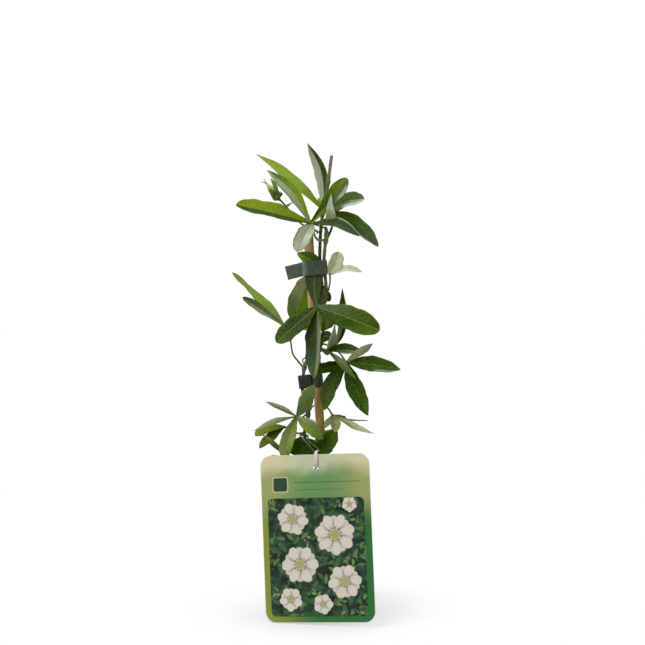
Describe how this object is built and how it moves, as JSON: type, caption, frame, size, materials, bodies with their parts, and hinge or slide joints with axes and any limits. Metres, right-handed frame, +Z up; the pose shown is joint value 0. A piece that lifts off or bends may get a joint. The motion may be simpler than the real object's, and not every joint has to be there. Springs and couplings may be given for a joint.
{
  "type": "passion flower vine",
  "caption": "Young potted climbing vine with deeply lobed leaves, tied to a bamboo cane by folded tape clips, with a hanging label card leaning on its pot",
  "frame": {"origin": "on the flat underside of the pot, straight below the foot of the vine, on the surface that the pot stands on", "axes": "+Z up along the cane; -Y towards the front, where the label card stands; +X to the right seen from the front"},
  "size_m": [0.1419, 0.1178, 0.3936],
  "materials": {
    "bamboo": "tan bamboo with a dull natural sheen, swollen at its joints",
    "pot": "thin black moulded nursery plastic, satin",
    "soil": "dark crumbly potting soil, matt",
    "tape": "dark grey-green plant tape with a soft sheen",
    "card": "printed card with a smooth satin coat, green, white cut edges",
    "tie": "soft white plastic strip",
    "bark": "grey-brown fibrous young bark with fine streaks",
    "shoot": "smooth green shoot, slightly waxy",
    "blade": "living leaf blade with a glossy waxy upper face and pale veins",
    "pale_blade": "pale grey-green leaf with a soft sheen",
    "bud": "closed green flower bud with yellowish petal edges"
  },
  "bodies": {
    "root": {"cane": "bamboo", "pot": "pot", "soil": "soil", "clip_upper": "tape", "clip_lower": "tape", "label_card": "card", "label_tie": "tie", "stem_main": "bark", "stem_side_shoot": "shoot", "flower_bud": "bud", "leaf_crown_front": "blade", "leaf_crown_back": "blade", "leaf_middle_front": "blade", "leaf_middle_back": "blade", "leaf_far_left": "blade", "leaf_pale_right": "pale_blade", "leaf_lower_back": "blade", "leaf_right": "blade", "leaf_low_right": "pale_blade", "leaf_low_left": "blade", "leaf_low_far_left": "blade", "leaf_foot": "blade", "leaf_foot_left": "blade", "leaf_foot_back": "blade"}
  },
  "joints": []
}
